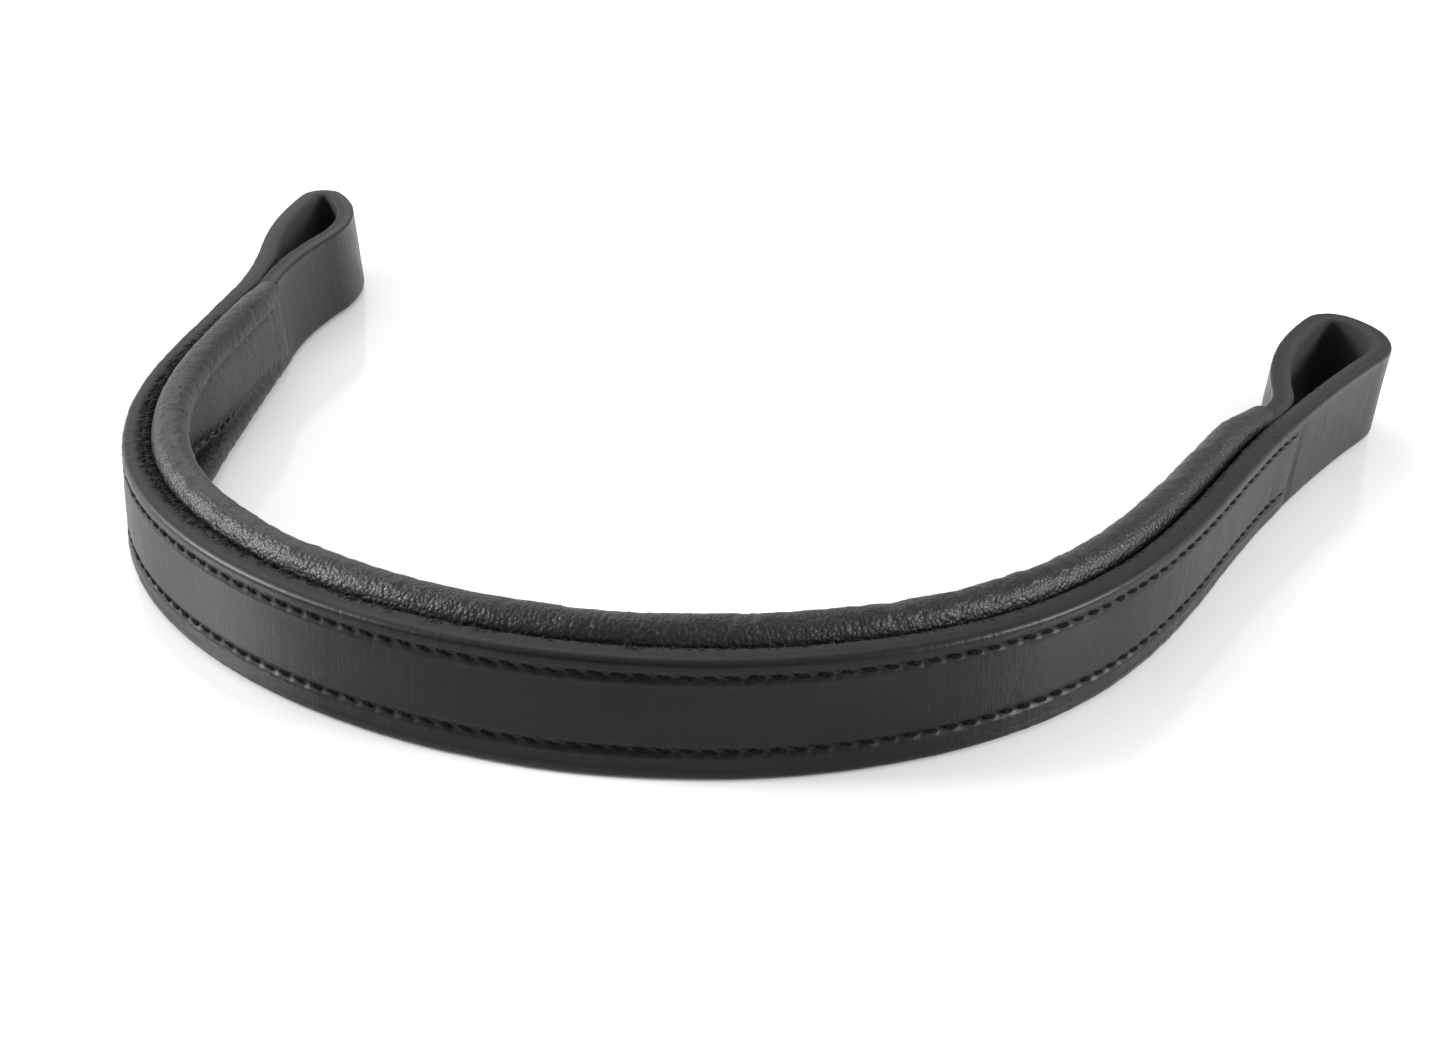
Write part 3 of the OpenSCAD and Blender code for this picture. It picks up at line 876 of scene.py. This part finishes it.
def lining_relief(along, out, z, around, distance):
    """relief of the lining's surface, and its pebble grain"""
    back = ease(-5.0, -6.2, out)
    relief = np.zeros_like(out)
    # stitches pull the lining in, one dimple each, with swells between
    phase = np.cos(2 * np.pi * (along / PITCH))
    for row in (ROW_LOW, ROW_HIGH):
        relief -= ((0.12 + 0.20 * (0.5 - 0.5 * phase)) * bell(z, row, 0.75)
                   * back * ease(1.5, 9.0, distance))
    # upper roll: puckers that start at the stitch row and run over the roll
    roll = ease(13.6, 14.8, z)
    angle = np.arctan2(z - ROLL_Z, out + 6.4)
    puckers = noise(along / 1.6 + 0.35 * noise(along / 4.0, z / 2.0, 71), angle * 0.9, 60)
    fine_puckers = noise(along / 0.95, angle * 1.6, 62)
    inner = ease(-5.6, -8.2, out)
    bend = np.interp(np.abs(along), [0, 45, 75, 95, 120, 150], [0.6, 0.7, 1.0, 1.0, 0.7, 0.6])
    relief += roll * bend * (0.045 * puckers + 0.05 * fine_puckers) * (0.45 + 0.55 * inner)
    relief += (roll * 0.036 * creases(puckers, 0.16) * (0.3 + 0.7 * inner)
               * np.clip(0.4 + noise(along / 7.0, angle, 66), 0, 1))
    # flat middle: slack ripples across it
    flat = np.exp(-((z - MID_Z) / 4.0) ** 4) * back
    ripples = noise(along / 2.6 + 0.6 * noise(along / 6.0, z / 3.0, 81), z / 6.0, 80)
    relief += flat * bend * 0.10 * ripples
    # lower roll: coarse and fine unevenness
    relief += ease(3.9, 2.6, z) * (0.06 * noise(along / 1.7, z / 1.6 + out / 3, 90)
                                   + 0.03 * noise(along / 0.8, out / 1.2, 91))
    # slow unevenness in how full the padding is
    relief += 0.045 * layered_noise(along / 17.0, z / 9.0, 95, 3) * ease(0, 10, distance)
    # pebble grain, only where it is not against the strap
    wobble = 0.35 * layered_noise(along / 1.4, around / 1.4, 30, 2)
    nearest, second = cells(along / 0.72 + wobble, around / 0.66 - wobble, 31)
    grain = np.clip((second - nearest) / 0.42, 0, 1)
    relief += 0.035 * (grain - 0.6) * np.where(out > -3.9, 0.0, 1.0)
    return relief * np.where(np.abs(out - LINING_FRONT) < 0.25, 0.25, 1.0), grain


def lining_points():
    """points, strap coordinates, grain and stations of the whole lining"""
    left, right = LINING_LENGTH[-1], LINING_LENGTH[1]
    stations = np.concatenate([
        [-left, -left + 0.12, -left + 0.3],
        np.arange(-left + 0.55, right - 0.5, STEP),
        [right - 0.3, right - 0.12, right]])
    distance = from_throat(stations)
    out, z, around = (np.zeros((len(stations), LINING_AROUND)) for _ in range(3))
    for i, station in enumerate(stations):
        ring, around[i] = lining_ring(station, distance[i])
        out[i], z[i] = ring[:, 0], ring[:, 1]
    along = stations[:, None]
    relief, grain = lining_relief(along, out, z, around, distance[:, None])
    pushed_out, pushed_z = push(out, z, relief)
    points = place(along, np.minimum(pushed_out, -STRAP_T - 0.03), np.maximum(pushed_z, 0.0))
    twist(points, stations)
    return points, np.stack(np.broadcast_arrays(along, around, z), -1), grain, stations


def cloth_shift(coarse, pinned):
    """how far a coarse lining moves as cloth, millimetres; simulated at 20 times full size"""
    scale = 20 * MM
    last_frame = 14
    rings, around = pinned.shape
    mesh = bpy.data.meshes.new("settle")
    mesh.from_pydata((coarse.reshape(-1, 3) * scale).tolist(), [],
                     closed_tube_faces(rings, around))
    mesh.update()
    ob = link_object("settle", mesh)
    group = ob.vertex_groups.new(name="pin")
    group.add([int(i) for i in np.where(pinned.ravel())[0]], 1.0, "REPLACE")
    cloth = ob.modifiers.new("Cloth", "CLOTH")
    settings = cloth.settings
    settings.quality = 6
    settings.mass = 0.2
    settings.tension_stiffness = settings.compression_stiffness = 12
    settings.shear_stiffness = 5
    settings.bending_stiffness = 0.4
    settings.air_damping = 2.0
    settings.vertex_group_mass = "pin"
    settings.use_pressure = True
    settings.uniform_pressure_force = 2.0
    settings.shrink_min = -0.02
    settings.effector_weights.gravity = 0.0
    cloth.collision_settings.use_collision = False
    cloth.collision_settings.use_self_collision = False
    cloth.point_cache.frame_start, cloth.point_cache.frame_end = 1, last_frame
    scene = bpy.context.scene
    frame_before = scene.frame_current
    for frame in range(1, last_frame + 1):
        scene.frame_set(frame)
    evaluated = ob.evaluated_get(bpy.context.evaluated_depsgraph_get())
    settled = np.zeros(rings * around * 3, np.float32)
    evaluated.data.vertices.foreach_get("co", settled)
    scene.frame_set(frame_before)
    bpy.data.objects.remove(ob)
    bpy.data.meshes.remove(mesh)
    return settled.reshape(rings, around, 3) / scale - coarse


def settle(points, stations):
    """let the lining settle over its padding, held at the stitch rows, against the
    strap, on the table and at both ends"""
    ring_count, around = points.shape[:2]
    every = 3                          # the cloth takes every third ring and point
    ring_ids = np.unique(np.concatenate([np.arange(0, ring_count, every), [ring_count - 1]]))
    coarse = points[ring_ids][:, np.arange(0, around, every)]
    rings, columns = coarse.shape[:2]
    x, y, heading = (values[:, None] for values in plan(stations[ring_ids]))
    z = coarse[:, :, 2]
    out = (coarse[:, :, 0] - x) * np.sin(heading) - (coarse[:, :, 1] - y) * np.cos(heading)
    pinned = (out > -4.6) | (z < 0.35)
    for row in (ROW_LOW, ROW_HIGH):
        pinned |= (np.abs(z - row) < 0.40) & (out < -4.6)
    pinned[:8] = True
    pinned[-8:] = True
    shift = cloth_shift(coarse, pinned)
    size = np.linalg.norm(shift, axis=-1, keepdims=True)
    limit = 0.09
    shift *= limit * np.tanh(size / limit) / np.maximum(size, 1e-6)
    # back onto the fine grid
    position = np.interp(np.arange(ring_count), ring_ids, np.arange(rings))
    ring = np.floor(position).astype(int).clip(0, rings - 2)
    t = (position - ring)[:, None, None]
    rows = shift[ring] * (1 - t) + shift[ring + 1] * t
    position = np.arange(around) / float(every)
    column = np.floor(position).astype(int) % columns
    t = (position - np.floor(position))[None, :, None]
    return rows[:, column] * (1 - t) + rows[:, (column + 1) % columns] * t


def build_lining(material):
    points, strap_co, grain, stations = lining_points()
    points = points + settle(points, stations)
    points[..., 2] = np.maximum(points[..., 2], 0.0)
    normals = grid_normals(points)
    for side in (1, -1):
        for k, ending, start, end in pieces(side, trim=0.0):
            first, last = sorted(int(np.argmin(np.abs(stations - edge * side)))
                                 for edge in (start, end))
            cut = (slice(first, last + 1), slice(None, None, -1))
            ob = grid_object(f"lining_{ending}", points[cut], normals[cut],
                             {"strap_co": strap_co[cut], "grain": grain[cut]}, material)
            finish_piece(ob, cad_nodes("lining", side, k))


# =====================================================================
# Foam strips inside the lining
# =====================================================================
# layer: (out, z) outline, and how far it moves out on the arms
FOAMS = {
    "roll_foam": (arc(-6.7, ROLL_Z + 0.15, 1.45, 0, 352, 45), 0.0),
    "lower_foam": (arc(-6.15, 2.2, 1.15, 0, 352, 45), 0.0),
    "pad_foam": (resample(np.array([[-3.75, 5.0], [-3.75, 12.7],
                                    [-5.3, 12.7], [-5.3, 5.0]]), 40)[0], -1.85),
}


def build_foam(material):
    for layer, (outline, arm_shift) in FOAMS.items():
        for side in (1, -1):
            for k, ending, start, end in pieces(side, trim=15):
                stations = np.linspace(start, end, max(3, int((end - start) / 1.5))) * side
                along = stations[:, None]
                out = outline[None, :, 0] + arm_shift * on_arm(along)
                points = twist(place(along, out, outline[None, :, 1]), stations)
                strap_co = np.stack(np.broadcast_arrays(along, 0.0, points[..., 2]), -1)
                # the custom normals face into the foam
                normals = -side * grid_normals(points)
                ob = grid_object(f"{layer}_{ending}", points[:, ::-side], normals[:, ::-side],
                                 {"strap_co": strap_co}, material)
                finish_piece(ob, cad_nodes(layer, side, k))


# =====================================================================
# Stitches
# =====================================================================
def stitch_object(name, centres, row, seed, material, out, dive, slant):
    """one tapering strand per stitch; dive is how far its ends sink into the leather,
    slant how far they stand off the row"""
    random = np.random.RandomState(seed)
    rings, around = 15, 10
    t = np.linspace(-1, 1, rings)
    angle = np.linspace(0, 2 * np.pi, around, endpoint=False)
    one_stitch = [face[::-1] for face in closed_tube_faces(rings, around)]
    points, faces, strap_co = [], [], []
    for k, centre in enumerate(centres):
        # uneven length, height, radius and depth
        d_half, d_z, d_radius, d_out = (
            random.normal(0, spread) for spread in (0.03, 0.045, 0.018, 0.02))
        along = centre + t * (STITCH_HALF + d_half)
        path = place(along, out + d_out - dive * np.abs(t) ** 3.2, row + d_z + slant * t)
        path = twist(path[:, None], along)[:, 0]
        radius = (0.285 + d_radius) * (0.70 + 0.30 * np.sqrt(np.clip(1 - t ** 4, 0, 1)))
        tangent = np.gradient(path, axis=0)
        tangent /= np.linalg.norm(tangent, axis=1)[:, None]
        level = np.cross(tangent, np.array([0, 0, 1.0]))
        level /= np.linalg.norm(level, axis=1)[:, None]
        upright = np.cross(level, tangent)
        # two lobes wind along the strand
        lobes = 1 + 0.16 * np.cos(2 * (angle[None, :] - 3.3 * t[:, None] + k))
        points.append(path[:, None] + (radius[:, None] * lobes)[..., None] * (
            np.cos(angle)[None, :, None] * level[:, None]
            + np.sin(angle)[None, :, None] * upright[:, None]))
        faces += [[i + k * rings * around for i in face] for face in one_stitch]
        strap_co.append(np.stack(
            np.broadcast_arrays(along[:, None], angle[None], float(k)), -1).reshape(-1, 3))
    return strand_object(name, np.concatenate(points), faces, np.concatenate(strap_co), material)


def sink_into_lining(ob, row):
    """move stitches from the strap's face to the pulled-in valley of the lining"""
    mesh = ob.data
    points = np.zeros(len(mesh.vertices) * 3, np.float32)
    mesh.vertices.foreach_get("co", points)
    points = points.reshape(-1, 3) / MM
    strap_co = np.zeros(len(points) * 3, np.float32)
    mesh.attributes["strap_co"].data.foreach_get("vector", strap_co)
    along = strap_co.reshape(-1, 3)[:, 0]
    t = (along - np.round(along / PITCH) * PITCH) / STITCH_HALF
    distance = from_throat(along)
    depth = row_depth(along, flat_depth(along, distance), ease(0, 16, distance))
    depth = depth - 0.03 - 0.10 * on_arm(along) + 0.42 * np.abs(t) ** 3.2
    # the last stitches sink into the leather
    depth = depth + 0.35 * ease(16.0, 6.0, distance)
    if row == ROW_LOW:
        depth = depth + 0.50 * ease(-110.0, -126.0, along)
    heading = plan(along)[2]
    points[:, 0], points[:, 1] = offset(points[:, 0], points[:, 1], heading, depth)
    mesh.vertices.foreach_set("co", (points * MM).astype(np.float32).ravel())
    mesh.update()


# Needle stitches lie on the strap's face, bobbin stitches on the lining.
# trim is how far short of the throat the stitches end.
STITCHES = {
    "needle": dict(trim=1.3, seed=100, shape=dict(out=-0.20, dive=0.45, slant=-0.20)),
    "bobbin": dict(trim=9.0, seed=200, shape=dict(out=0.0, dive=0.0, slant=-0.14)),
}


def build_stitches(material):
    for row_name, row in (("upper", ROW_HIGH), ("lower", ROW_LOW)):
        for kind, spec in STITCHES.items():
            layer = f"{kind}_{row_name}"
            for side in (1, -1):
                # the stitch at the middle belongs to the right side
                count = int((LENGTH[side] - STITCHES["needle"]["trim"]) / PITCH) + 1
                centres = np.arange(0 if side > 0 else 1, count) * PITCH
                for k, ending, start, end in pieces(side, spec["trim"]):
                    ob = stitch_object(f"{layer}_{ending}",
                                       [c * side for c in centres if start <= c < end],
                                       row, spec["seed"] + k + (side > 0) * 7,
                                       material, **spec["shape"])
                    if kind == "bobbin":
                        sink_into_lining(ob, row)
                    finish_piece(ob, cad_nodes(layer, side, k))


# =====================================================================
# Stage, metres: glossy white table, big soft lights, white surroundings
# =====================================================================
def build_table():
    material = Material("white_table").surface(
        color=(0.93, 0.93, 0.935), roughness=0.09, specular=0.35)
    bpy.ops.mesh.primitive_plane_add(size=6.0, location=(0, 0, -0.0001))
    table = bpy.context.object
    table.name = "table"
    table.data.materials.append(material)


def area_light(name, location, width, height, power):
    light = bpy.data.lights.new(name, "AREA")
    light.shape = "RECTANGLE"
    light.size = width
    light.size_y = height
    light.energy = power
    ob = link_object(name, light)
    ob.location = location
    direction = Vector((0, 0.05, 0.0)) - Vector(location)
    ob.rotation_euler = direction.to_track_quat("-Z", "Y").to_euler()


def build_world():
    world = bpy.data.worlds.new("studio")
    bpy.context.scene.world = world
    world.use_nodes = True
    graph = Nodes(world.node_tree)
    output = graph.node("ShaderNodeOutputWorld")
    light_path = graph.node("ShaderNodeLightPath")
    # the studio lights the strap; its strength is linked below
    studio = graph.node("ShaderNodeBackground", {0: (0.9, 0.9, 0.9), 1: 0.90})
    # the camera itself sees plain white
    backdrop = graph.node("ShaderNodeBackground", {0: (1, 1, 1), 1: 1.0})
    mix = graph.node("ShaderNodeMixShader")
    # the studio is darker on the camera's side and brighter to the left and right
    coords = graph.node("ShaderNodeTexCoord")
    split = graph.node("ShaderNodeSeparateXYZ", {0: coords.outputs["Generated"]})
    x, y, z = split.outputs
    front = graph.math("MAXIMUM", graph.times(y, -1.0), 0.0)
    # ... but not right at the horizon, which the table mirrors
    above = graph.minus(graph.times(z, 4.0), 0.2)
    above = graph.math("MINIMUM", graph.math("MAXIMUM", above, 0.0), 1.0)
    front = graph.times(front, above)
    sideways = graph.times(x, x)
    strength = graph.minus(0.82, graph.times(front, 0.66))
    strength = graph.plus(strength, graph.times(sideways, 0.80))
    graph.feed(studio.inputs[1], strength)
    graph.feed(mix.inputs[0], light_path.outputs["Is Camera Ray"])
    graph.feed(mix.inputs[1], studio.outputs[0])
    graph.feed(mix.inputs[2], backdrop.outputs[0])
    graph.feed(output.inputs[0], mix.outputs[0])


def build_camera():
    camera = bpy.data.cameras.new("camera")
    camera.sensor_width = 36.0
    camera.sensor_fit = "HORIZONTAL"
    camera.lens = 44.094
    camera.clip_start = 0.005
    ob = link_object("camera", camera)
    location = Vector((0.088865, -0.164535, 0.123552))
    target = Vector((0.017029, 0.045643, 0.00795))
    roll = math.radians(1.0232)
    forward = (target - location).normalized()
    right = forward.cross(Vector((0, 0, 1))).normalized()
    up = right.cross(forward)
    rolled_right = right * math.cos(roll) + up * math.sin(roll)
    rolled_up = -right * math.sin(roll) + up * math.cos(roll)
    matrix = Matrix((rolled_right, rolled_up, -forward)).transposed().to_4x4()
    matrix.translation = location
    ob.matrix_world = matrix
    bpy.context.scene.camera = ob


LEATHER, LINING, THREAD, FOAM = bridle_leather(), lining_leather(), waxed_thread(), foam()
build_strap(LEATHER)
build_fibres(raw_fibres())
build_lining(LINING)
build_foam(FOAM)
build_stitches(THREAD)

build_table()
area_light("soft_left", (-0.72, -0.17, 0.36), width=0.28, height=0.26, power=7.6)
area_light("soft_right", (0.80, 0.12, 0.36), width=0.28, height=0.26, power=6.2)
area_light("soft_back", (-0.45, 0.70, 0.85), width=0.6, height=0.6, power=3.0)
bpy.context.scene.view_settings.view_transform = "Standard"
build_world()
build_camera()
